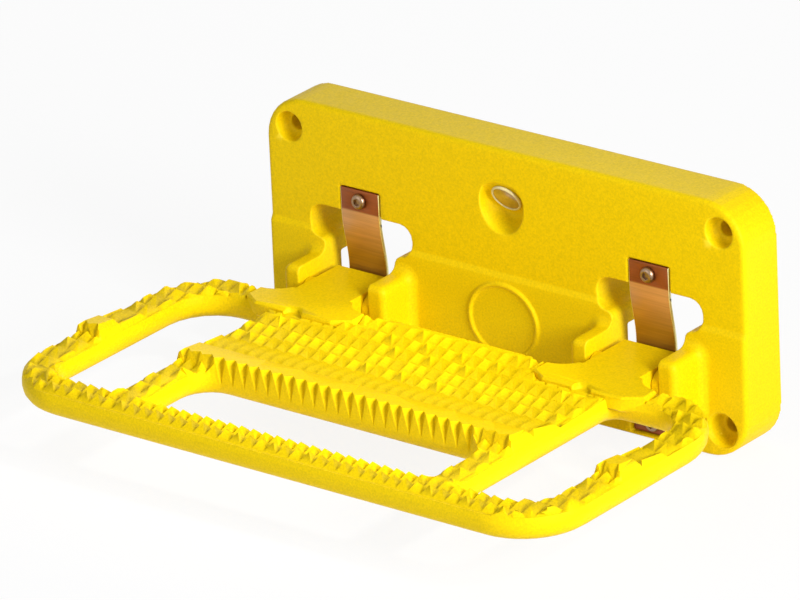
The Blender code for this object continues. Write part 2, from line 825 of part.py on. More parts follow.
def opening_cutter(name, corners, cutters):
    """A through hole whose rim is rounded above and below."""
    half = TREAD_THICKNESS / 2
    flat = half - TREAD_EDGE_RADIUS
    steps = 4
    arc = []
    for step in range(steps + 1):
        turn = math.pi / 2 * step / steps
        height = flat + TREAD_EDGE_RADIUS * math.sin(turn)
        arc.append((height, TREAD_EDGE_RADIUS * (1 - math.cos(turn))))
    arc.append((half + OVERCUT, TREAD_EDGE_RADIUS))
    stations = [(-height, reach) for height, reach in reversed(arc)] + arc
    loops = [
        [Vector((x, y, HINGE_AXIS_Z + z)) for x, y in filleted(grown(corners, reach), 6)]
        for z, reach in stations
    ]
    return lofted(name, loops, cutters)


def tread_level():
    return Matrix.Translation((0, 0, HINGE_AXIS_Z))


def ramp_rear_y():
    return PLATFORM_FRONT_Y + RAMP_LENGTH


def ramp_rise(y):
    """How far the tread's top stands above its rear part."""
    if y > ramp_rear_y() or y < PLATFORM_FRONT_Y - STEP_LENGTH:
        return 0.0
    if y < PLATFORM_FRONT_Y:
        share = 1 - (PLATFORM_FRONT_Y - y) / STEP_LENGTH
    else:
        share = (ramp_rear_y() - y) / RAMP_LENGTH
    return (NOSE_TIP - REAR_TIP) * share


def raised_along_ramp(obj):
    half = TREAD_THICKNESS / 2

    def upwards(point):
        share = min(1, max(0, (point.z - HINGE_AXIS_Z) / half))
        return Vector((0, 0, share * ramp_rise(point.y)))

    creases = [ramp_rear_y(), PLATFORM_FRONT_Y, PLATFORM_FRONT_Y - STEP_LENGTH]
    return bent(obj, 1, creases, upwards)


def tread_blank(collection, cutters):
    """The open frame with round edges, its top raised along the ramp."""
    half = TREAD_THICKNESS / 2
    level = tread_level()
    outline = [tread_outline()]
    tread = extruded("tread", outline, -half, half, collection, level, TREAD_EDGE_RADIUS)
    raised_along_ramp(tread)
    for name, corners in opening_corners().items():
        boolean(tread, raised_along_ramp(opening_cutter(name, corners, cutters)))
    return tread


def nose_block(collection):
    """Squares up the platform's front edge above the tread's middle."""
    slot = PLATFORM_WIDTH / 2 - STRUT_WIDTH + SEAM
    outer = PLATFORM_WIDTH / 2 - STRUT_WIDTH / 2
    front = PLATFORM_FRONT_Y + SEAM
    corner = front - SLOT_REAR_RADIUS
    half_plan = [
        (slot, corner, 0),
        (slot, front, SLOT_REAR_RADIUS),
    ]
    plan = [(outer, front + NOSE_LENGTH, 0), (outer, corner, 0)] + half_plan
    outline = filleted(mirrored(plan), 6)
    top = NOSE_TIP + OVERCUT
    return extruded("nose", [outline], SEAM, top, collection, tread_level())


def crest(y):
    """Height of the tooth tips behind the nose."""
    return REAR_TIP + ramp_rise(y)


def rear_grooves():
    """(y, half width) of the grooves across the tread behind the nose."""
    rows = math.ceil(-ramp_rear_y() / ROW_PITCH)
    half = CROSS_GROOVE_WIDTH / 2
    lines = [(ramp_rear_y() + row * ROW_PITCH, half) for row in range(rows, -1, -1)]
    return lines + [(ramp_rear_y() - RIDGE_LENGTH, FRONT_GROOVE_WIDTH / 2)]


def front_grooves():
    """The same for the grooves across the arms and the front bar."""
    first = PLATFORM_FRONT_Y - STEP_LENGTH - ROW_PITCH / 2
    bar_rear = TREAD_FRONT_Y + TREAD_BAR_WIDTH
    rows = math.floor((first - bar_rear) / ROW_PITCH) + 1
    lines = [(first - row * ROW_PITCH, CROSS_GROOVE_WIDTH / 2) for row in range(rows)]
    half = FRONT_GROOVE_WIDTH / 2
    return lines + [(FRONT_GROOVE_Y + TOOTH_PITCH, half), (FRONT_GROOVE_Y, half)]


def row_stations(grooves, first_row, height):
    """(tip point, valley point, row) from one groove's bottom to the next and on."""
    stations = []
    for number, (y, half) in enumerate(grooves):
        row = first_row + number
        floor = (y, height(y) - TOOTH_DEPTH)
        stations.append((floor, floor, row))
        if number + 1 < len(grooves):
            next_y, next_half = grooves[number + 1]
            for edge in (y - half, next_y + next_half):
                tip = (edge, height(edge))
                stations.append((tip, (edge, height(edge) - TOOTH_DEPTH), row))
    return stations


def nose_stations(x, row):
    """Plain top behind the platform's edge, then V-flutes down its front."""
    groove_y, half = rear_grooves()[-1]
    plain = [(y, crest(y)) for y in (groove_y - half, PLATFORM_FRONT_Y + 2 * FLUTE_DEPTH)]
    stations = [(point, point, row) for point in plain]
    flute_top = PLATFORM_FRONT_Y + FLUTE_DEPTH
    stations.append(((PLATFORM_FRONT_Y, NOSE_TIP), (flute_top, crest(flute_top)), row))
    step_front = PLATFORM_FRONT_Y - STEP_LENGTH
    slot = PLATFORM_WIDTH / 2 - STRUT_WIDTH - SLOT_REAR_RADIUS
    floor = FRONT_TIP - TOOTH_DEPTH
    bottom = FLUTE_BOTTOM if abs(x) < slot + TOOTH_PITCH / 2 else floor
    stations.append(((step_front, FRONT_TIP), (step_front, bottom), row))
    return stations


def tooth_stations(x):
    """All stations from the rear to the front; each row's tips sit between the last row's."""
    rear = rear_grooves()
    stations = row_stations(rear, len(rear), crest)
    ridge_row = stations[-2][2]
    stations += nose_stations(x, ridge_row)
    front = front_grooves()
    edge = front[0][0] + front[0][1]
    tip = (edge, FRONT_TIP)
    stations.append((tip, (edge, FRONT_TIP - TOOTH_DEPTH), ridge_row))
    stations += row_stations(front, ridge_row + 1, lambda y: FRONT_TIP)
    end = (TREAD_FRONT_Y - OVERCUT, FRONT_TIP - TOOTH_DEPTH)
    return stations + [(end, end, ridge_row)]


def tooth_cutter(cutters):
    """Everything above the toothed top of the tread, as one solid."""
    count = math.ceil(TREAD_WIDTH / TOOTH_PITCH / 2) + 1
    columns = []
    for index in range(-2 * count, 2 * count + 1):
        x = index * TOOTH_PITCH / 2
        column = []
        for tip, valley, row in tooth_stations(x):
            y, height = valley if (index + row) % 2 else tip
            column.append(Vector((x, y, HINGE_AXIS_Z + height)))
        columns.append(column)
    ceiling = HINGE_AXIS_Z + NOSE_TIP + 2 * OVERCUT
    loops = []
    for station in range(len(columns[0])):
        loop = [column[station] for column in columns]
        loop.append(Vector((loop[-1].x, loop[-1].y, ceiling)))
        loop.append(Vector((loop[0].x, loop[0].y, ceiling)))
        loops.append(loop)
    teeth = lofted("teeth", loops, cutters)
    tidy = bmesh.new()
    tidy.from_mesh(teeth.data)
    bmesh.ops.triangulate(tidy, faces=tidy.faces, quad_method="LONG_EDGE")
    tidy.to_mesh(teeth.data)
    tidy.free()
    return teeth


def cheek_notch_cutter(side, hand, cutters):
    """Leaves room in the tread's rear bar for a cheek."""
    centre = hinge_centre(side) + hand * (NECK_WIDTH / 2 + CHEEK_NOTCH_RADIUS + SEAM)
    front = HINGE_AXIS_Y - (CHEEK_NOTCH_REACH + CHEEK_NOTCH_RADIUS / 2)
    half = CHEEK_NOTCH_RADIUS
    rounding = half * CHEEK_NOTCH_ROUNDING
    corners = rectangle(centre - half, centre + half, front, 0)
    corners = [(x, y, rounding if y == front else 0) for x, y, _ in corners]
    name = f"notch_{side}_{'b' if hand > 0 else 'a'}"
    reach = TREAD_THICKNESS
    return extruded(name, [filleted(corners, 6)], -reach, reach, cutters, tread_level())


def neck(side, collection):
    """The hinge arm, with a heel that turns past the leaf spring."""
    heel = NECK_HEEL_RADIUS
    top = PAD_TOP - SEAM
    bottom = TREAD_THICKNESS / 2 - SEAM
    first = math.asin(top / heel)
    last = -math.asin(bottom / heel)
    steps = 6
    root = TREAD_REAR_Y - PAD_LENGTH / 2
    profile = [Vector((root, -bottom)), Vector((root, top))]
    for step in range(steps + 1):
        angle = first + (last - first) * step / steps
        y = HINGE_AXIS_Y + heel * math.cos(angle)
        profile.append(Vector((y, heel * math.sin(angle))))
    centre = hinge_centre(side)
    half = NECK_WIDTH / 2
    name = f"neck_{side}"
    placing = tread_level() @ FROM_SIDE
    return extruded(name, [profile], centre - half, centre + half, collection, placing)


def pad_outline(side, grow=0.0):
    """Plan of the plain pad between the neck and the teeth."""
    centre = hinge_centre(side)
    half = PAD_WIDTH / 2 + grow
    front = TREAD_REAR_Y - PAD_LENGTH - grow
    rear = TREAD_REAR_Y + OVERCUT + grow
    side = front + PAD_CORNER_LENGTH
    nose = half - PAD_CORNER_WIDTH
    return [
        Vector((centre + half, rear)),
        Vector((centre - half, rear)),
        Vector((centre - half, side)),
        Vector((centre - nose, front)),
        Vector((centre + nose, front)),
        Vector((centre + half, side)),
    ]


def pad(side, collection):
    plan = pad_outline(side)
    level = tread_level()
    return extruded(f"pad_{side}", [plan], 0, PAD_TOP, collection, level, PAD_CHAMFER, 0)


def pad_recess(side, cutters):
    plan = pad_outline(side, PAD_MARGIN)
    top = NOSE_TIP + OVERCUT
    return extruded(f"pad_recess_{side}", [plan], PAD_FLOOR, top, cutters, tread_level())


def pad_scallop(side, cutters):
    """A thumb notch in the front of the pad."""
    place = tread_level() @ Matrix.Translation(
        (hinge_centre(side), TREAD_REAR_Y - PAD_LENGTH, 0)
    )
    profile = cylinder_profile(PAD_SCALLOP_RADIUS, PAD_FLOOR + SEAM, NOSE_TIP)
    return turned(f"pad_scallop_{side}", profile, cutters, 20, place)


def neck_bore(side, cutters):
    radius = PIN_DIAMETER / 2 + PIN_CLEARANCE
    half = NECK_WIDTH / 2 + OVERCUT
    place = along_x(hinge_centre(side), HINGE_AXIS_Y, HINGE_AXIS_Z)
    return turned(f"neck_bore_{side}", cylinder_profile(radius, -half, half), cutters, 24, place)


def set_origin(obj, place):
    """Moves the object's origin to a place and leaves its shape where it is."""
    obj.data.transform(Matrix.Translation(-place))
    obj.location = place
    return obj


def build_tread(collection, cutters, material):
    tread = tread_blank(collection, cutters)
    boolean(tread, nose_block(cutters), "UNION")
    boolean(tread, tooth_cutter(cutters))
    for side in SIDES:
        boolean(tread, pad_recess(side, cutters))
        boolean(tread, pad(side, cutters), "UNION")
        boolean(tread, pad_scallop(side, cutters))
        for hand in (-1, 1):
            boolean(tread, cheek_notch_cutter(side, hand, cutters))
        boolean(tread, neck(side, cutters), "UNION")
        boolean(tread, neck_bore(side, cutters))
    finish(baked(tread), material, math.radians(25))
    return set_origin(tread, Vector((0, HINGE_AXIS_Y, HINGE_AXIS_Z)))


def main():
    clear_scene()
    parts = new_collection("folding_step")
    cutters = new_collection("cutters")
    paint = new_material("yellow powder coat", PAINT, 0.4, 0.0)
    spring_steel = new_material("coppered spring steel", SPRING_BROWN, 0.35, 0.8)
    steel = new_material("plain steel", STEEL, 0.3, 1.0)
    zinc = new_material("zinc plated steel", ZINC, 0.35, 1.0)
    board = new_material("lamp circuit board", BOARD_WHITE, 0.5, 0.0)
    nylon = new_material("black nylon", NYLON, 0.5, 0.0)
    rim = new_material("grey lamp rim", RIM_GREY, 0.4, 0.0)
    lens = new_material("smoked lens", LENS_GREY, 0.1, 0.0)
    build_base_plate(parts, cutters, paint)
    for side in SIDES:
        build_hinge(side, parts, zinc, nylon)
        build_leaf_spring(side, parts, cutters, spring_steel)
        for level in ("upper", "lower"):
            build_spring_screw(side, level, parts, cutters, steel)
    build_lamp(parts, rim, lens, board, nylon)
    build_tread(parts, cutters, paint)


main()
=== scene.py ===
"""Looks of the fold-down step: castings, springs, screws, lamp, and the studio round them."""

import json
import math

import bmesh
import bpy
from bpy.props import FloatProperty, FloatVectorProperty, IntProperty, PointerProperty
from mathutils import Matrix, Vector


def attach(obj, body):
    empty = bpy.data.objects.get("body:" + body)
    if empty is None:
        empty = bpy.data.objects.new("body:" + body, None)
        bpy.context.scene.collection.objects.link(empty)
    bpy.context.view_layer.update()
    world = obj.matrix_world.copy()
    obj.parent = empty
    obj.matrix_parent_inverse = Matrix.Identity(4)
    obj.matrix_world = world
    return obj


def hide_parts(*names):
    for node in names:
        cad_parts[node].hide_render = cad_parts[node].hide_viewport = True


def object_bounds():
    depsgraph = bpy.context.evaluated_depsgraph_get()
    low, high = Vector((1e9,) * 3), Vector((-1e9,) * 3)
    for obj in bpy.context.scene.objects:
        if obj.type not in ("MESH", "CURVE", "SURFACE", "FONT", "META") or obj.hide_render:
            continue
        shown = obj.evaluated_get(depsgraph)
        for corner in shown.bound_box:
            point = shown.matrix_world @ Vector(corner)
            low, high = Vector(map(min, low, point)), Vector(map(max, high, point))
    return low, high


bl_info = {
    "name": "Fold-down step looks",
    "version": (1, 0, 0),
    "blender": (4, 5, 0),
    "location": "View3D > Sidebar > Step",
    "description": "Dresses the packed fold-down step and sets up its studio",
    "category": "Object",
}

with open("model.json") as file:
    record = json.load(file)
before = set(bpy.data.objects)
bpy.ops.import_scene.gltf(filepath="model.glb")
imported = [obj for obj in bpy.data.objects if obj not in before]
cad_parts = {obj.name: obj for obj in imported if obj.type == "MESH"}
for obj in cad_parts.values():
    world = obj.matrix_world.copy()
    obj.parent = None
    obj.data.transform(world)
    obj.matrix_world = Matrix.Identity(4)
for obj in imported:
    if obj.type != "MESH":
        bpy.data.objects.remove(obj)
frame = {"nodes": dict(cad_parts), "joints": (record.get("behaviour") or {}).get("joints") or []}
CAD_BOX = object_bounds()
NODES = frame["nodes"]
HINGE_AXIS = Vector(frame["joints"][0]["pos_m"])
SIDES = ("left", "right")

MM = 0.001

# Places on the plate: the hinges' middles, the face of its lower half, its face at the
# mounting holes and the lamp's seat
HINGE_X = 77.05 * MM
LOWER_FACE_Y = -25.25 * MM
HOLE_FACE_Y = -24.4 * MM
LAMP_SEAT = Vector((0, -19.2 * MM, 34.7 * MM))
LAMP_TILT = math.radians(30)

# Tooth tips above the hinge axis: level at the rear, rising along the ramp to the front
# edge of the platform, and level again on the front bar. The depth is that of a valley.
TOOTH_TIP = 7 * MM
RAMP_REAR = -105.5 * MM
PLATFORM_FRONT = -136.8 * MM
NOSE_RISE = 3.5 * MM
FRONT_TOOTH_TIP = 7.35 * MM
TOOTH_DEPTH = 2.4 * MM

# Bounds of the rearmost teeth and of the pads, where valleys keep the CAD model's depth
REAR_TEETH = -64 * MM
PAD_FRONT = -82 * MM
PAD_INNER = 42 * MM
PAD_OUTER = 112 * MM

# Camera: from the front right and a little above. The middle of the picture is to the left
# of the middle between the upper holes, and below it.
VIEW_RIGHT = Vector((0.79130, 0.60991, -0.04280))
VIEW_UP = Vector((-0.20629, 0.33222, 0.92037))
VIEW_BACK = Vector((0.57559, -0.71947, 0.38872))
UPPER_HOLES_MIDDLE = Vector((0, -23.8 * MM, 44.5 * MM))
VIEW_CENTRE = UPPER_HOLES_MIDDLE - 42.46 * MM * VIEW_RIGHT - 51.38 * MM * VIEW_UP
VIEW_WIDTH = 339.7 * MM

# Points on each ring of a turned piece
SEGMENTS = 48


def linear(code):
    """An sRGB hex colour as linear red, green and blue."""
    shades = [int(code[i : i + 2], 16) / 255 for i in (1, 3, 5)]
    return [s / 12.92 if s <= 0.04045 else ((s + 0.055) / 1.055) ** 2.4 for s in shades]


def colour_property(name, description, code):
    return FloatVectorProperty(
        name=name,
        description=description,
        subtype="COLOR",
        size=3,
        min=0,
        max=1,
        default=linear(code),
    )


def length_property(name, description, default):
    return FloatProperty(name=name, description=description, unit="LENGTH", default=default)


def power_property(name, description, default):
    return FloatProperty(name=name, description=description, unit="POWER", default=default)


def group_property(kind, name, description):
    return PointerProperty(type=kind, name=name, description=description)


def opaque(colour):
    return (*colour, 1)


def add_node(tree, kind, settings=None, values=None, links=None):
    """A node with its settings, its sockets' values and the sockets linked into it."""
    node = tree.nodes.new(kind)
    for key, value in (settings or {}).items():
        setattr(node, key, value)
    for key, value in (values or {}).items():
        node.inputs[key].default_value = value
    for key, socket in (links or {}).items():
        tree.links.new(socket, node.inputs[key])
    return node


def new_material(name, values):
    """A material, its node tree and its shader, with the shader's own values set."""
    material = bpy.data.materials.new(name)
    material.use_nodes = True
    tree = material.node_tree
    shader = tree.nodes["Principled BSDF"]
    for key, value in values.items():
        shader.inputs[key].default_value = value
    return material, tree, shader


def object_place(tree, scale=(1, 1, 1)):
    """Object coordinates, stretched by a Mapping node."""
    coordinates = add_node(tree, "ShaderNodeTexCoord")
    mapping = add_node(
        tree,
        "ShaderNodeMapping",
        values={"Scale": scale},
        links={"Vector": coordinates.outputs["Object"]},
    )
    return mapping.outputs["Vector"]


def grain(tree, place, size, detail=2.0, roughness=0.5):
    """Noise whose grains are about size across."""
    return add_node(
        tree,
        "ShaderNodeTexNoise",
        values={"Scale": 1 / size, "Detail": detail, "Roughness": roughness},
        links={"Vector": place},
    )


def tinted(tree, factor, dark, light, low=0.3, high=0.7):
    """Colour that runs from dark to light with a factor."""
    ramp = add_node(tree, "ShaderNodeValToRGB", links={"Fac": factor})
    ramp.color_ramp.elements[0].position = low
    ramp.color_ramp.elements[1].position = high
    ramp.color_ramp.elements[0].color = opaque(dark)
    ramp.color_ramp.elements[1].color = opaque(light)
    return ramp.outputs["Color"]


def bump(tree, shader, height, distance, strength, under=None):
    """Relief on the shader's surface, laid over another relief where one is given."""
    links = {"Height": height}
    if under is not None:
        links["Normal"] = under
    node = add_node(
        tree,
        "ShaderNodeBump",
        values={"Distance": distance, "Strength": strength},
        links=links,
    )
    tree.links.new(node.outputs["Normal"], shader.inputs["Normal"])
    return node.outputs["Normal"]


def roughness_range(tree, shader, factor, low, high):
    """Roughness that runs from low to high with a factor."""
    spread = add_node(
        tree,
        "ShaderNodeMapRange",
        values={"To Min": low, "To Max": high},
        links={"Value": factor},
    )
    tree.links.new(spread.outputs["Result"], shader.inputs["Roughness"])


def powder_coat(name, settings, edges=False):
    """Polyester powder coat on cast aluminium: satin, with a fine grain and a soft orange peel."""
    material, tree, shader = new_material(
        name,
        {"IOR": 1.5, "Roughness": settings.roughness, "Specular IOR Level": 0.06},
    )
    place = object_place(tree)
    # The real grain is about 0.3 mm across and is drawn at 0.9 mm, so that it shows.
    fine = grain(tree, place, settings.grain_size, 3.0, 0.6)
    peel = grain(tree, place, settings.peel_size, 2.0)
    yellow = Vector(settings.yellow)
    speckled = tinted(tree, fine.outputs["Fac"], yellow * 0.86, yellow * 1.08)
    if edges:
        # Sharp edges are painted lighter: a painted highlight along them.
        sharpness = add_node(tree, "ShaderNodeNewGeometry").outputs["Pointiness"]
        # thin is the share of the painted edge highlight at each point.
        thin = add_node(
            tree,
            "ShaderNodeMapRange",
            values={"From Min": 0.525, "From Max": 0.59, "To Max": 0.7},
            links={"Value": sharpness},
        )
        speckled = add_node(
            tree,
            "ShaderNodeMixRGB",
            values={"Color2": opaque(settings.painted_edge_highlight)},
            links={"Fac": thin.outputs["Result"], "Color1": speckled},
        ).outputs["Color"]
    tree.links.new(speckled, shader.inputs["Base Color"])
    roughness_range(
        tree, shader, peel.outputs["Fac"], settings.roughness - 0.06, settings.roughness + 0.08
    )
    slow = bump(tree, shader, peel.outputs["Fac"], 0.12 * MM, 0.5)
    bump(tree, shader, fine.outputs["Fac"], 0.1 * MM, 0.7, slow)
    return material


def spring_steel(settings):
    """Tempered spring strip: browns that change with height, and streaks across it from rolling.
    """
    material, tree, shader = new_material(
        "copper-brown spring steel", {"Metallic": 0.55, "Roughness": 0.38}
    )
    coordinates = add_node(tree, "ShaderNodeTexCoord").outputs["Object"]
    height = add_node(tree, "ShaderNodeSeparateXYZ", links={"Vector": coordinates})
    # The colour follows the height, from the strip's lower end at 0 to above its top at 1: dark
    # brown on the flat ends, lighter on the bend, lightest near its top.
    share = add_node(
        tree,
        "ShaderNodeMapRange",
        values={"From Min": -56 * MM, "From Max": 23 * MM},
        links={"Value": height.outputs["Z"]},
    )
    ramp = add_node(tree, "ShaderNodeValToRGB", links={"Fac": share.outputs["Result"]})
    stops = ramp.color_ramp.elements
    stops[0].color = opaque(settings.flat_brown)
    stops[1].color = opaque(settings.flat_brown)
    for position, colour in (
        (0.13, settings.flat_brown),
        (0.15, settings.bend_brown),
        (0.60, settings.bend_brown),
        (0.80, settings.bend_copper),
        (0.862, settings.bend_copper),
        (0.870, settings.flat_brown),
    ):
        stops.new(position).color = opaque(colour)
    # Streaks run across the strip, each about 30 mm long. The real ones are some 0.2 mm
    # apart and are drawn 0.9 mm apart, so that they show.
    streak = grain(tree, object_place(tree, (0.03, 1, 1)), 0.9 * MM, 3.0, 0.65)
    shade = add_node(
        tree,
        "ShaderNodeMapRange",
        values={"From Min": 0.3, "From Max": 0.7, "To Min": 0.86, "To Max": 1.12},
        links={"Value": streak.outputs["Fac"]},
    )
    scaled = add_node(
        tree,
        "ShaderNodeVectorMath",
        settings={"operation": "SCALE"},
        links={"Vector": ramp.outputs["Color"], "Scale": shade.outputs["Result"]},
    )
    tree.links.new(scaled.outputs["Vector"], shader.inputs["Base Color"])
    roughness_range(tree, shader, streak.outputs["Fac"], 0.28, 0.5)
    bump(tree, shader, streak.outputs["Fac"], 0.02 * MM, 0.25)
    return material


def steel(name, colour, roughness):
    """Cut, turned or plated steel: bright, with a fine mottle from the tool."""
    material, tree, shader = new_material(name, {"Metallic": 1.0, "Roughness": roughness})
    # The real marks are about 0.1 mm across and are drawn at 0.5 mm, so that they show.
    marks = grain(tree, object_place(tree), 0.5 * MM, 3.0)
    colour = Vector(colour)
    shade = tinted(tree, marks.outputs["Fac"], colour * 0.85, colour * 1.05)
    tree.links.new(shade, shader.inputs["Base Color"])
    roughness_range(tree, shader, marks.outputs["Fac"], roughness - 0.08, roughness + 0.1)
    bump(tree, shader, marks.outputs["Fac"], 0.02 * MM, 0.3)
    return material


def moulded_plastic(name, colour, roughness):
    """Injection-moulded plastic with a light texture from its mould."""
    material, tree, shader = new_material(name, {"IOR": 1.49, "Roughness": roughness})
    # The real texture is about 0.2 mm across and is drawn at 0.6 mm, so that it shows.
    spots = grain(tree, object_place(tree), 0.6 * MM, 3.0)
    colour = Vector(colour)
    shade = tinted(tree, spots.outputs["Fac"], colour * 0.92, colour * 1.04)
    tree.links.new(shade, shader.inputs["Base Color"])
    roughness_range(tree, shader, spots.outputs["Fac"], roughness - 0.05, roughness + 0.08)
    bump(tree, shader, spots.outputs["Fac"], 0.02 * MM, 0.3)
    return material


def smoked_lens(settings):
    """Smoked polycarbonate over the lamp: brown and glossy, with slow swells from moulding."""
    material, tree, shader = new_material(
        "smoked polycarbonate lens", {"IOR": 1.58, "Roughness": 0.16, "Coat Weight": 0.5}
    )
    cloud = grain(tree, object_place(tree), 3 * MM, 2.0)
    brown = Vector(settings.lens_brown)
    shade = tinted(tree, cloud.outputs["Fac"], brown * 0.85, brown * 1.15, 0.35, 0.65)
    tree.links.new(shade, shader.inputs["Base Color"])
    bump(tree, shader, cloud.outputs["Fac"], 0.04 * MM, 0.3)
    return material


def linked_object(name, data):
    obj = bpy.data.objects.new(name, data)
    bpy.context.scene.collection.objects.link(obj)
    return obj


def plain_mesh(obj, name):
    """The object's evaluated mesh in a new plain object at the origin."""
    bpy.context.view_layer.update()
    graph = bpy.context.evaluated_depsgraph_get()
    mesh = bpy.data.meshes.new_from_object(obj.evaluated_get(graph))
    mesh.transform(obj.matrix_world)
    mesh.name = name
    bpy.data.objects.remove(obj)
    return linked_object(name, mesh)


def merged_copy(node, name):
    """A copy of a CAD node's mesh with its loose triangles joined."""
    mesh = NODES[node].data.copy()
    merged = bmesh.new()
    merged.from_mesh(mesh)
    bmesh.ops.remove_doubles(merged, verts=merged.verts, dist=0.001 * MM)
    merged.to_mesh(mesh)
    merged.free()
    mesh.materials.clear()
    return linked_object(name, mesh)


def cast_skin(obj, name, voxel, most_triangles):
    """Rounds every edge of a casting by about a voxel, as the mould and the coat do."""
    remesh = obj.modifiers.new("Skin", "REMESH")
    remesh.mode = "VOXEL"
    remesh.voxel_size = voxel
    dense = plain_mesh(obj, name + "_dense")
    triangles = sum(len(face.vertices) - 2 for face in dense.data.polygons)
    thin = dense.modifiers.new("Thin", "DECIMATE")
    thin.ratio = min(1, most_triangles / triangles)
    dense.data.shade_smooth()
    return plain_mesh(dense, name)


def crest(y):
    """Height of the tread's tooth tips, in metres from the origin."""
    if y < PLATFORM_FRONT:
        return HINGE_AXIS.z + FRONT_TOOTH_TIP
    share = max(0, (RAMP_REAR - y) / (RAMP_REAR - PLATFORM_FRONT))
    return HINGE_AXIS.z + TOOTH_TIP + NOSE_RISE * share


def deepen_teeth(mesh, share):
    """Lowers the valleys between the teeth, and leaves the pads and the tips alone."""
    tip_slack = 0.05 * MM
    floor_slack = 0.15 * MM
    for vertex in mesh.vertices:
        x, y, z = vertex.co
        depth = crest(y) - z
        beside_pad = y > REAR_TEETH or y > PAD_FRONT and PAD_INNER < abs(x) < PAD_OUTER
        if tip_slack < depth < TOOTH_DEPTH + floor_slack and not beside_pad:
            vertex.co.z = crest(y) - depth * share


def crisp_skin(obj, name, angle):
    """Smooth over shallow folds, sharp over steep ones, with large faces kept flat."""
    obj.data.shade_smooth()
    obj.data.set_sharp_from_angle(angle=angle)
    weighted = obj.modifiers.new("Weight", "WEIGHTED_NORMAL")
    weighted.keep_sharp = True
    return plain_mesh(obj, name)


def from_rings(name, rings, wrap=False):
    """A mesh through rings of equal numbers of points, with its ends closed or joined."""
    skin = bmesh.new()
    rows = [[skin.verts.new(point) for point in ring] for ring in rings]
    pairs = list(zip(rows, rows[1:]))
    if wrap:
        pairs.append((rows[-1], rows[0]))
    for low, high in pairs:
        for i in range(len(low)):
            skin.faces.new((low[i - 1], low[i], high[i], high[i - 1]))
    if not wrap:
        skin.faces.new(rows[0])
        skin.faces.new(rows[-1])
    bmesh.ops.recalc_face_normals(skin, faces=skin.faces)
    mesh = bpy.data.meshes.new(name)
    skin.to_mesh(mesh)
    skin.free()
    mesh.shade_smooth()
    mesh.set_sharp_from_angle(angle=math.radians(40))
    return linked_object(name, mesh)


def ring_point(radius, angle, height):
    return Vector((radius * math.cos(angle), radius * math.sin(angle), height))


def circle(radius, height):
    return [ring_point(radius, math.tau * i / SEGMENTS, height) for i in range(SEGMENTS)]


def hexagon(across, height):
    """Points on a hexagon's outline, as many as on a circle."""
    points = []
    for i in range(SEGMENTS):
        angle = math.tau * i / SEGMENTS
        lean = (angle + math.pi / 6) % (math.pi / 3) - math.pi / 6
        points.append(ring_point(across / 2 / math.cos(lean), angle, height))
    return points


def placed(obj, matrix):
    obj.data.transform(matrix)
    return obj


def dressed(obj, material):
    obj.data.materials.clear()
    obj.data.materials.append(material)
    return obj


def lamp_matrix():
    """At the lamp's seat, with +Z along its beam."""
    return Matrix.Translation(LAMP_SEAT) @ Matrix.Rotation(math.pi / 2 + LAMP_TILT, 4, "X")


class PaintSettings(bpy.types.PropertyGroup):
    yellow: colour_property("Yellow", "Colour of the powder coat", "#E7C606")
    # The lighter colour on sharp edges is a painted highlight.
    painted_edge_highlight: colour_property("Edges", "Colour of the coat on sharp edges", "#FFE23A")
    roughness: FloatProperty(
        name="Roughness",
        description="How matt the coat is",
        subtype="FACTOR",
        default=0.46,
        min=0,
        max=1,
    )
    grain_size: length_property("Grain", "Width of one grain of the coat", 0.9 * MM)
    peel_size: length_property("Orange peel", "Width of one swell of the coat", 3.5 * MM)
    plate_skin: length_property("Plate skin", "Fineness of the plate's skin", 0.45 * MM)
    tread_fold: FloatProperty(
        name="Tread fold",
        description="Folds of the tread steeper than this look sharp",
        unit="ROTATION",
        default=math.radians(17),
    )
    tooth_cut: FloatProperty(
        name="Tooth cut",
        description="Depth of the valleys between teeth, as a multiple of the CAD model's",
        default=1.55,
    )
    most_triangles: IntProperty(
        name="Triangles",
        description="Most triangles in the plate's casting",
        default=190000,
        min=1000,
    )


class HoleSettings(bpy.types.PropertyGroup):
    spacing: length_property("Spacing", "Distance between the hole columns", 228.6 * MM)
    top: length_property("Top", "Height of the upper holes", 44.5 * MM)
    bottom: length_property("Bottom", "Height of the lower holes", -44.9 * MM)
    width: length_property("Width", "Diameter of the sunk seat", 13.8 * MM)
    depth: length_property("Depth", "Depth of the sunk seat", 7 * MM)
    lip: length_property("Lip", "Rounding of the seat's rim", 0.9 * MM)


class OvalSettings(bpy.types.PropertyGroup):
    width: length_property("Width", "Width of the raised outline", 36 * MM)
    height: length_property("Height", "Height of the raised outline", 33 * MM)
    middle: length_property("Middle", "Height of its middle above the origin", -20.5 * MM)
    line: length_property("Line", "Width of the raised line", 2.2 * MM)
    relief: length_property("Relief", "How far the line stands out", 1.1 * MM)


class SpringSettings(bpy.types.PropertyGroup):
    flat_brown: colour_property("Flat ends", "Colour of the flat ends", "#8E4A1E")
    bend_brown: colour_property("Bend", "Colour of the bent part", "#A67A24")
    bend_copper: colour_property("Top of bend", "Colour at the top of the bend", "#CC9860")
    # The pale colour of the strip's sides is a painted reflection.
    painted_side_reflection: colour_property("Sheared edge", "Colour of the strip's cut edges", "#F4EFB4")
    edge: length_property("Edge", "Rounding of the strip's edges", 0.25 * MM)


class ScrewSettings(bpy.types.PropertyGroup):
    steel: colour_property("Steel", "Colour of the screws", "#9A8068")
    head: length_property("Head", "Diameter of the button head", 7 * MM)
    rise: length_property("Rise", "Height of the button head", 2.2 * MM)
    socket: length_property("Socket", "Width across the hexagon socket", 3 * MM)
    upper: length_property("Upper", "Height of the upper screws", 17.6 * MM)
    lower: length_property("Lower", "Height of the lower screws", -50.8 * MM)
    face: length_property("Face", "Where the heads sit, along Y", -24.1 * MM)


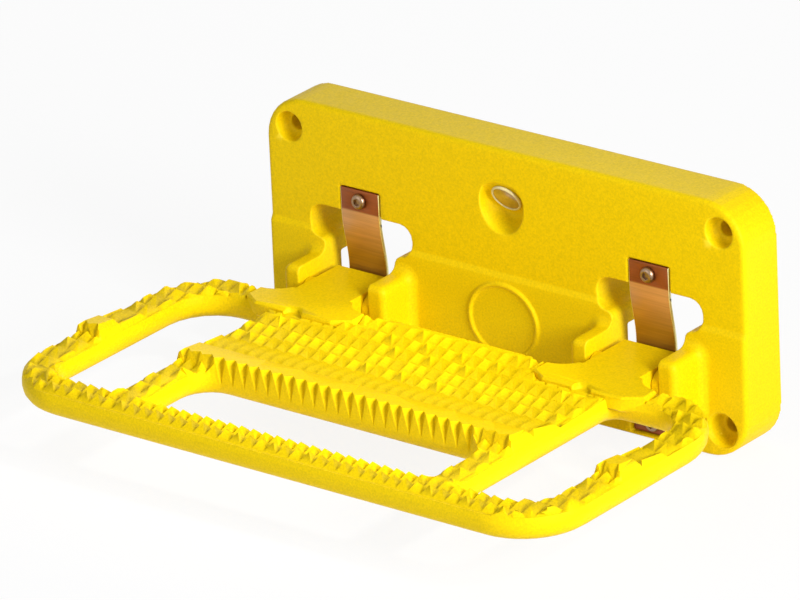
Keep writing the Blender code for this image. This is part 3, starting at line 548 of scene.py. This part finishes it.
class HingeSettings(bpy.types.PropertyGroup):
    zinc: colour_property("Zinc", "Colour of the plated pins", "#C4C6C8")
    collar_radius: length_property("Collar radius", "Radius of the painted collars", 6.2 * MM)
    collar_inner: length_property("Collar start", "Distance from the hinge's middle", 14.75 * MM)
    collar_outer: length_property("Collar end", "Distance from the hinge's middle", 18.7 * MM)


class LampSettings(bpy.types.PropertyGroup):
    rim_pale: colour_property("Rim", "Colour of the lamp's rim", "#D8CC96")
    lens_brown: colour_property("Lens", "Colour of the smoked lens", "#A8822E")
    board_white: colour_property("Board", "Colour of the circuit board", "#DADAD4")
    body_black: colour_property("Body", "Colour of the lamp's body", "#1A1A1A")


class StageSettings(bpy.types.PropertyGroup):
    floor_pale: colour_property("Floor", "Colour of the floor", "#FFFFFF")
    sky: FloatProperty(name="Sky", description="Strength of the light all round", default=0.36)
    key: power_property("Key", "Power of the softbox on the right", 45.0)
    fill: power_property("Fill", "Power of the softbox in front", 8.0)
    back: power_property("Back", "Power of the softbox behind", 9.0)
    beam: power_property("Beam", "Power of the step's own lamp", 1.3)
    tread: power_property("Tread", "Power of the light on the tread", 40.0)


class StepSettings(bpy.types.PropertyGroup):
    paint: group_property(PaintSettings, "Paint", "Powder coat and castings")
    holes: group_property(HoleSettings, "Holes", "Seats of the mounting screws")
    oval: group_property(OvalSettings, "Oval", "Raised outline on the plate")
    spring: group_property(SpringSettings, "Springs", "Leaf springs")
    screw: group_property(ScrewSettings, "Screws", "Screws that hold the springs")
    hinge: group_property(HingeSettings, "Hinges", "Pins and collars")
    lamp: group_property(LampSettings, "Lamp", "Lamp in the plate")
    stage: group_property(StageSettings, "Studio", "Floor and lights")


def paint_material(settings):
    name = "yellow powder coat"
    return bpy.data.materials.get(name) or powder_coat(name, settings.paint)


def raised_oval(settings):
    """A plain raised line round an oval on the plate's lower half."""
    sides = 96
    profile = 8
    rings = []
    for i in range(sides):
        angle = math.tau * i / sides
        ring = []
        for j in range(profile):
            turn = math.tau * j / profile
            out = settings.line / 2 * math.cos(turn)
            rise = settings.relief * math.sin(turn)
            x = (settings.width / 2 + out) * math.cos(angle)
            z = (settings.height / 2 + out) * math.sin(angle)
            ring.append(Vector((x, LOWER_FACE_Y - rise, settings.middle + z)))
        rings.append(ring)
    return from_rings("raised_oval", rings, wrap=True)


def plate_hole_places(settings):
    half = settings.spacing / 2
    return [(x, z) for x in (-half, half) for z in (settings.top, settings.bottom)]


def counterbore(settings):
    """The sunk seat of a mounting screw, open towards -Y."""
    radius = settings.width / 2
    lip = settings.lip
    face = -HOLE_FACE_Y
    outside = 30 * MM
    rings = [circle(radius + lip, outside)]
    steps = 4
    for i in range(steps + 1):
        turn = math.pi / 2 * i / steps
        rings.append(
            circle(radius + lip * (1 - math.sin(turn)), face - lip * (1 - math.cos(turn)))
        )
    # The corner between wall and floor is rounded.
    for inset, rise in ((0.8 * MM, 2 * MM), (2 * MM, 0.6 * MM), (3.4 * MM, 0)):
        rings.append(circle(radius - inset, face - settings.depth + rise))
    seat = from_rings("counterbore", rings)
    return placed(seat, Matrix.Rotation(math.pi / 2, 4, "X"))


def join(obj, other):
    """Adds the other object's mesh to the object's own and deletes the other object."""
    both = bmesh.new()
    both.from_mesh(obj.data)
    both.from_mesh(other.data)
    both.to_mesh(obj.data)
    both.free()
    bpy.data.objects.remove(other)


def cut_out(obj, cutter, matrix):
    """Cuts the placed cutter from the object and deletes the cutter."""
    placed(cutter, matrix)
    cut = obj.modifiers.new("Cut", "BOOLEAN")
    cut.object = cutter
    cut.solver = "EXACT"
    bpy.context.view_layer.update()
    graph = bpy.context.evaluated_depsgraph_get()
    obj.data = bpy.data.meshes.new_from_object(obj.evaluated_get(graph))
    obj.modifiers.clear()
    bpy.data.objects.remove(cutter)


class STEP_OT_plate(bpy.types.Operator):
    """Makes the back plate as a soft-edged casting with sunk screw seats"""

    bl_idname = "step.plate"
    bl_label = "Back plate"

    def execute(self, context):
        settings = context.scene.step
        plate = merged_copy("base_plate", "plate_solid")
        paint = settings.paint
        sink = settings.holes
        for x, z in plate_hole_places(sink):
            cut_out(plate, counterbore(sink), Matrix.Translation((x, 0, z)))
        join(plate, raised_oval(settings.oval))
        casting = cast_skin(plate, "plate_casting", paint.plate_skin, paint.most_triangles)
        # This coat carries a painted highlight along the plate's sharp edges.
        dressed(casting, powder_coat("yellow powder coat with painted edge highlight", paint, edges=True))
        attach(casting, "plate")
        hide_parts("base_plate")
        return {"FINISHED"}


class STEP_OT_tread(bpy.types.Operator):
    """Makes the toothed tread, with its valleys cut deeper"""

    bl_idname = "step.tread"
    bl_label = "Tread"

    def execute(self, context):
        settings = context.scene.step
        paint = settings.paint
        solid = merged_copy("tread", "tread_solid")
        deepen_teeth(solid.data, paint.tooth_cut)
        casting = crisp_skin(solid, "tread_casting", paint.tread_fold)
        dressed(casting, paint_material(settings))
        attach(casting, "tread")
        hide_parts("tread")
        return {"FINISHED"}


class STEP_OT_springs(bpy.types.Operator):
    """Makes the two leaf springs, with rounded edges and a pale painted reflection on their cut
    sides
    """

    bl_idname = "step.springs"
    bl_label = "Leaf springs"

    def execute(self, context):
        settings = context.scene.step.spring
        material = spring_steel(settings)
        # Steel with a pale painted reflection, for the strip's sides.
        painted_reflection_sides = steel("sheared edge of spring steel", settings.painted_side_reflection, 0.35)
        corner = math.radians(50)
        sideways = 0.3
        for side in SIDES:
            node = f"leaf_spring_{side}"
            strip = merged_copy(node, f"spring_strip_{side}")
            edge = strip.modifiers.new("Edge", "BEVEL")
            edge.width = settings.edge
            edge.segments = 2
            edge.limit_method = "ANGLE"
            edge.angle_limit = corner
            leaf = plain_mesh(strip, f"leaf_{side}")
            leaf.data.shade_smooth()
            leaf.data.set_sharp_from_angle(angle=corner)
            dressed(leaf, material)
            leaf.data.materials.append(painted_reflection_sides)
            # Faces that look sideways are the strip's cut sides, which get the pale painted
            # reflection.
            for face in leaf.data.polygons:
                if abs(face.normal.x) > sideways:
                    face.material_index = 1
            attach(leaf, "plate")
            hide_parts(node)
        return {"FINISHED"}


def screw_template(settings):
    """A button-head screw with a hexagon socket, its seat at the origin and its top to +Z."""
    head = settings.head / 2
    rise = settings.rise
    land = settings.socket / 2 + 0.35 * MM
    shank = 2 * MM
    length = 12 * MM
    rings = [circle(shank, -length), circle(shank, 0), circle(head - 0.2 * MM, 0)]
    rings.append(circle(head, 0.25 * MM))
    # The side of the head is upright for this share of its height, and the crown is round.
    side = 0.22
    steps = 8
    for i in range(steps + 1):
        turn = math.pi / 2 * i / steps
        radius = land + (head - land) * math.cos(turn)
        rings.append(circle(radius, rise * (side + (1 - side) * math.sin(turn))))
    rings.append(hexagon(settings.socket, rise - 0.1 * MM))
    rings.append(hexagon(settings.socket - 0.1 * MM, rise - 1.1 * MM))
    return from_rings("screw_template", rings)


def screw_pattern(settings, template, material):
    """Geometry nodes: one screw at each corner of an upright rectangle."""
    tree = bpy.data.node_groups.new("spring screw pattern", "GeometryNodeTree")
    interface = tree.interface
    interface.new_socket("Geometry", in_out="INPUT", socket_type="NodeSocketGeometry")
    sizes = {
        "Spacing": 2 * HINGE_X,
        "Level Distance": settings.upper - settings.lower,
        "Middle Height": (settings.upper + settings.lower) / 2,
        "Seat": settings.face,
    }
    for name, value in sizes.items():
        size = interface.new_socket(name, in_out="INPUT", socket_type="NodeSocketFloat")
        size.default_value = value
    interface.new_socket("Screw", in_out="INPUT", socket_type="NodeSocketObject")
    interface.new_socket("Steel", in_out="INPUT", socket_type="NodeSocketMaterial")
    interface.new_socket("Geometry", in_out="OUTPUT", socket_type="NodeSocketGeometry")
    given = add_node(tree, "NodeGroupInput").outputs
    corners = add_node(
        tree,
        "GeometryNodeMeshGrid",
        values={"Vertices X": 2, "Vertices Y": 2},
        links={"Size X": given["Spacing"], "Size Y": given["Level Distance"]},
    )
    middle = add_node(
        tree,
        "ShaderNodeCombineXYZ",
        links={"Y": given["Seat"], "Z": given["Middle Height"]},
    )
    upright = add_node(
        tree,
        "GeometryNodeTransform",
        values={"Rotation": (math.pi / 2, 0, 0)},
        links={
            "Geometry": corners.outputs["Mesh"],
            "Translation": middle.outputs["Vector"],
        },
    )
    screw = add_node(tree, "GeometryNodeObjectInfo", links={"Object": given["Screw"]})
    set_out = add_node(
        tree,
        "GeometryNodeInstanceOnPoints",
        values={"Rotation": (math.pi / 2, 0, 0)},
        links={
            "Points": upright.outputs["Geometry"],
            "Instance": screw.outputs["Geometry"],
        },
    )
    real = add_node(
        tree,
        "GeometryNodeRealizeInstances",
        links={"Geometry": set_out.outputs["Instances"]},
    )
    painted = add_node(
        tree,
        "GeometryNodeSetMaterial",
        links={"Geometry": real.outputs["Geometry"], "Material": given["Steel"]},
    )
    add_node(tree, "NodeGroupOutput", links={"Geometry": painted.outputs["Geometry"]})
    holder = linked_object("spring_screw_points", bpy.data.meshes.new("spring_screw_points"))
    modifier = holder.modifiers.new("Screws", "NODES")
    modifier.node_group = tree
    given_sockets = [item for item in interface.items_tree if item.in_out == "INPUT"]
    inputs = {socket.name: socket.identifier for socket in given_sockets}
    for name, value in sizes.items():
        modifier[inputs[name]] = value
    modifier[inputs["Screw"]] = template
    modifier[inputs["Steel"]] = material
    return holder


class STEP_OT_screws(bpy.types.Operator):
    """Sets out the four button-head screws that hold the springs"""

    bl_idname = "step.screws"
    bl_label = "Spring screws"

    def execute(self, context):
        settings = context.scene.step.screw
        material = steel("bright screw steel", settings.steel, 0.3)
        template = screw_template(settings)
        holder = screw_pattern(settings, template, material)
        screws = plain_mesh(holder, "button_head_screws")
        bpy.data.objects.remove(template)
        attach(screws, "plate")
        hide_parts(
            "spring_screw_left_upper",
            "spring_screw_left_lower",
            "spring_screw_right_upper",
            "spring_screw_right_lower",
        )
        return {"FINISHED"}


class STEP_OT_hinges(bpy.types.Operator):
    """Plates the hinge pins and makes the painted collars beside the necks"""

    bl_idname = "step.hinges"
    bl_label = "Hinges"

    def execute(self, context):
        settings = context.scene.step
        zinc = steel("zinc-plated pin steel", settings.hinge.zinc, 0.34)
        radius = settings.hinge.collar_radius
        bore = 3.5 * MM
        edge = 0.5 * MM
        near = settings.hinge.collar_inner
        far = settings.hinge.collar_outer
        for side in SIDES:
            dressed(NODES[f"hinge_pin_{side}"], zinc)
            middle = HINGE_X if side == "right" else -HINGE_X
            for hand, label in ((-1, "a"), (1, "b")):
                profile = [
                    (bore, near),
                    (radius - edge, near),
                    (radius, near + edge),
                    (radius, far - edge),
                    (radius - edge, far),
                    (bore, far),
                ]
                rings = [circle(r, hand * x) for r, x in profile]
                name = f"hinge_collar_{side}_{label}"
                collar = from_rings(name, rings, wrap=True)
                turn = Matrix.Rotation(math.pi / 2, 4, "Y")
                placed(collar, Matrix.Translation((middle, HINGE_AXIS.y, HINGE_AXIS.z)) @ turn)
                dressed(collar, paint_material(settings))
                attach(collar, "plate")
                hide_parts(f"hinge_bush_{side}_{label}")
        return {"FINISHED"}


def lamp_rim():
    """A sleeve in the plate's bore with a rounded lip in front of it, at the origin."""
    bore = 5 * MM
    sleeve = 5.95 * MM
    lip = 7.3 * MM
    back = -8.5 * MM
    seat = 0.3 * MM
    front = 1.5 * MM
    ledge = 0.9 * MM
    section = (
        (bore, back),
        (sleeve, back),
        (sleeve, seat),
        (lip - 0.1 * MM, seat),
        (lip, 0.5 * MM),
        (lip, 1.1 * MM),
        (lip - 0.2 * MM, 1.4 * MM),
        (lip - 0.4 * MM, front),
        (lip - 0.7 * MM, front),
        (6.45 * MM, 1.35 * MM),
        (6.4 * MM, ledge),
        (bore, ledge),
    )
    rings = [circle(radius, height) for radius, height in section]
    return from_rings("lamp_rim", rings, wrap=True)


def lamp_glass():
    """A lens that fills the rim, with a low dome in front, at the origin."""
    stem = 4.9 * MM
    glass = 6.35 * MM
    ledge = 0.92 * MM
    edge = 1.1 * MM
    dome = 0.35 * MM
    rings = [circle(stem, -1.1 * MM), circle(stem, ledge), circle(glass, ledge)]
    rings.append(circle(glass, edge))
    steps = 8
    for i in range(1, steps):
        turn = math.pi / 2 * i / steps
        rings.append(circle(glass * math.cos(turn), edge + dome * math.sin(turn)))
    return from_rings("lamp_glass", rings)


class STEP_OT_lamp(bpy.types.Operator):
    """Makes the lamp's rim and lens and finishes the parts behind them"""

    bl_idname = "step.lamp"
    bl_label = "Lamp"

    def execute(self, context):
        settings = context.scene.step.lamp
        rim = placed(lamp_rim(), lamp_matrix())
        dressed(rim, moulded_plastic("pale moulded rim plastic", settings.rim_pale, 0.32))
        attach(rim, "plate")
        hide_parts("lamp_bezel")
        lens = placed(lamp_glass(), lamp_matrix())
        dressed(lens, smoked_lens(settings))
        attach(lens, "plate")
        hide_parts("lamp_lens")
        board = moulded_plastic("white circuit board", settings.board_white, 0.5)
        dressed(NODES["lamp_board"], board)
        body = moulded_plastic("black moulded nylon", settings.body_black, 0.5)
        dressed(NODES["lamp_body"], body)
        return {"FINISHED"}


def seen_directly(tree):
    """One for rays from the camera, a reflection or a lens, and nought for the rest."""
    path = add_node(tree, "ShaderNodeLightPath").outputs
    seen = path["Is Camera Ray"]
    for kind in ("Is Glossy Ray", "Is Transmission Ray"):
        seen = add_node(
            tree,
            "ShaderNodeMath",
            settings={"operation": "MAXIMUM"},
            links={0: seen, 1: path[kind]},
        ).outputs["Value"]
    return seen


def build_floor(settings):
    material = bpy.data.materials.new("matt studio floor")
    material.use_nodes = True
    tree = material.node_tree
    tree.nodes.clear()
    pale = opaque(settings.floor_pale)
    matt = add_node(tree, "ShaderNodeBsdfDiffuse", values={"Color": pale})
    glow = add_node(tree, "ShaderNodeEmission", values={"Color": pale, "Strength": 1.0})
    # Seen directly, the floor is mostly its own plain colour and keeps a faint shadow.
    own_colour = 0.88
    share = add_node(
        tree,
        "ShaderNodeMath",
        settings={"operation": "MULTIPLY"},
        values={1: own_colour},
        links={0: seen_directly(tree)},
    )
    mixed = add_node(
        tree,
        "ShaderNodeMixShader",
        links={0: share.outputs["Value"], 1: matt.outputs["BSDF"], 2: glow.outputs["Emission"]},
    )
    add_node(tree, "ShaderNodeOutputMaterial", links={"Surface": mixed.outputs["Shader"]})
    reach = 6.0
    gap = 0.4 * MM
    height = CAD_BOX[0].z - gap
    mesh = bpy.data.meshes.new("studio_floor")
    corners = [(-reach, -reach), (reach, -reach), (reach, reach), (-reach, reach)]
    mesh.from_pydata([(x, y, height) for x, y in corners], [], [(0, 1, 2, 3)])
    floor = linked_object("studio_floor", mesh)
    dressed(floor, material)


def build_sky(settings):
    world = bpy.data.worlds.new("studio")
    bpy.context.scene.world = world
    world.use_nodes = True
    tree = world.node_tree
    tree.nodes.clear()
    light = add_node(
        tree,
        "ShaderNodeBackground",
        values={"Color": (1, 1, 1, 1), "Strength": settings.sky},
    )
    white = add_node(
        tree, "ShaderNodeBackground", values={"Color": (1, 1, 1, 1), "Strength": 1.0}
    )
    mixed = add_node(
        tree,
        "ShaderNodeMixShader",
        links={
            0: seen_directly(tree),
            1: light.outputs["Background"],
            2: white.outputs["Background"],
        },
    )
    add_node(tree, "ShaderNodeOutputWorld", links={"Surface": mixed.outputs["Shader"]})


def add_softbox(name, place, size, power):
    """A square light that faces the step."""
    data = bpy.data.lights.new(name, "AREA")
    data.size = size
    data.energy = power
    light = linked_object(name, data)
    light.location = place
    target = (CAD_BOX[0] + CAD_BOX[1]) / 2
    light.rotation_euler = (target - Vector(place)).to_track_quat("-Z", "Y").to_euler()


def add_step_light(power):
    """Light of the step's own lamp. Its lens spreads the light, so it fades slowly."""
    data = bpy.data.lights.new("step_light", "SPOT")
    data.energy = power
    data.color = (1, 0.97, 0.8)
    data.spot_size = math.radians(112)
    data.spot_blend = 0.25
    data.shadow_soft_size = 4 * MM
    data.use_nodes = True
    tree = data.node_tree
    fade = add_node(tree, "ShaderNodeLightFalloff", values={"Strength": 1.0})
    tree.links.new(fade.outputs["Linear"], tree.nodes["Emission"].inputs["Strength"])
    light = linked_object("step_light", data)
    clear_of_lens = 7 * MM
    in_front = Matrix.Translation((0, 0, clear_of_lens)) @ Matrix.Rotation(math.pi, 4, "X")
    light.matrix_world = lamp_matrix() @ in_front
    light.visible_glossy = False


def add_tread_light(power):
    """A narrow light from high on the right, soft at its rim, that falls on the tread."""
    data = bpy.data.lights.new("tread_light", "SPOT")
    data.energy = power
    data.spot_size = math.radians(10.4)
    data.spot_blend = 0.5
    data.shadow_soft_size = 60 * MM
    light = linked_object("tread_light", data)
    target = Vector((0, -0.128, -0.018))
    way = Vector((0.78, -0.05, 0.62)).normalized()
    distance = 1.2
    light.location = target + distance * way
    light.rotation_euler = way.to_track_quat("Z", "Y").to_euler()


class STEP_OT_stage(bpy.types.Operator):
    """Sets out the floor, the lights and the camera"""

    bl_idname = "step.stage"
    bl_label = "Studio"

    def execute(self, context):
        settings = context.scene.step.stage
        build_floor(settings)
        build_sky(settings)
        add_softbox("softbox_right", (1.85, -0.60, 0.72), 0.7, settings.key)
        add_softbox("softbox_front", (-0.5, -2.0, 0.9), 1.4, settings.fill)
        add_softbox("softbox_back", (-1.2, 1.6, 1.1), 1.4, settings.back)
        add_step_light(settings.beam)
        add_tread_light(settings.tread)
        data = bpy.data.cameras.new("camera")
        data.sensor_width = 36
        data.lens = 400
        distance = VIEW_WIDTH * data.lens / data.sensor_width
        camera = linked_object("camera", data)
        axes = Matrix((VIEW_RIGHT, VIEW_UP, VIEW_BACK)).transposed().to_4x4()
        camera.matrix_world = Matrix.Translation(VIEW_CENTRE + distance * VIEW_BACK) @ axes
        data.clip_start = 0.1
        data.clip_end = 50
        context.scene.camera = camera
        context.scene.view_settings.view_transform = "Standard"
        return {"FINISHED"}


OPERATORS = (
    STEP_OT_plate,
    STEP_OT_tread,
    STEP_OT_springs,
    STEP_OT_screws,
    STEP_OT_hinges,
    STEP_OT_lamp,
    STEP_OT_stage,
)


class STEP_PT_panel(bpy.types.Panel):
    """Lists the step's pieces"""

    bl_idname = "STEP_PT_panel"
    bl_label = "Fold-down step"
    bl_space_type = "VIEW_3D"
    bl_region_type = "UI"
    bl_category = "Step"

    def draw(self, context):
        for operator in OPERATORS:
            self.layout.operator(operator.bl_idname)


CLASSES = (
    PaintSettings,
    HoleSettings,
    OvalSettings,
    SpringSettings,
    ScrewSettings,
    HingeSettings,
    LampSettings,
    StageSettings,
    StepSettings,
    *OPERATORS,
    STEP_PT_panel,
)


def register():
    for cls in CLASSES:
        bpy.utils.register_class(cls)
    bpy.types.Scene.step = group_property(StepSettings, "Step", "Fold-down step")


def unregister():
    del bpy.types.Scene.step
    for cls in reversed(CLASSES):
        bpy.utils.unregister_class(cls)


def main():
    register()
    bpy.ops.step.plate()
    bpy.ops.step.tread()
    bpy.ops.step.springs()
    bpy.ops.step.screws()
    bpy.ops.step.hinges()
    bpy.ops.step.lamp()
    bpy.ops.step.stage()


if __name__ == "__main__":
    main()
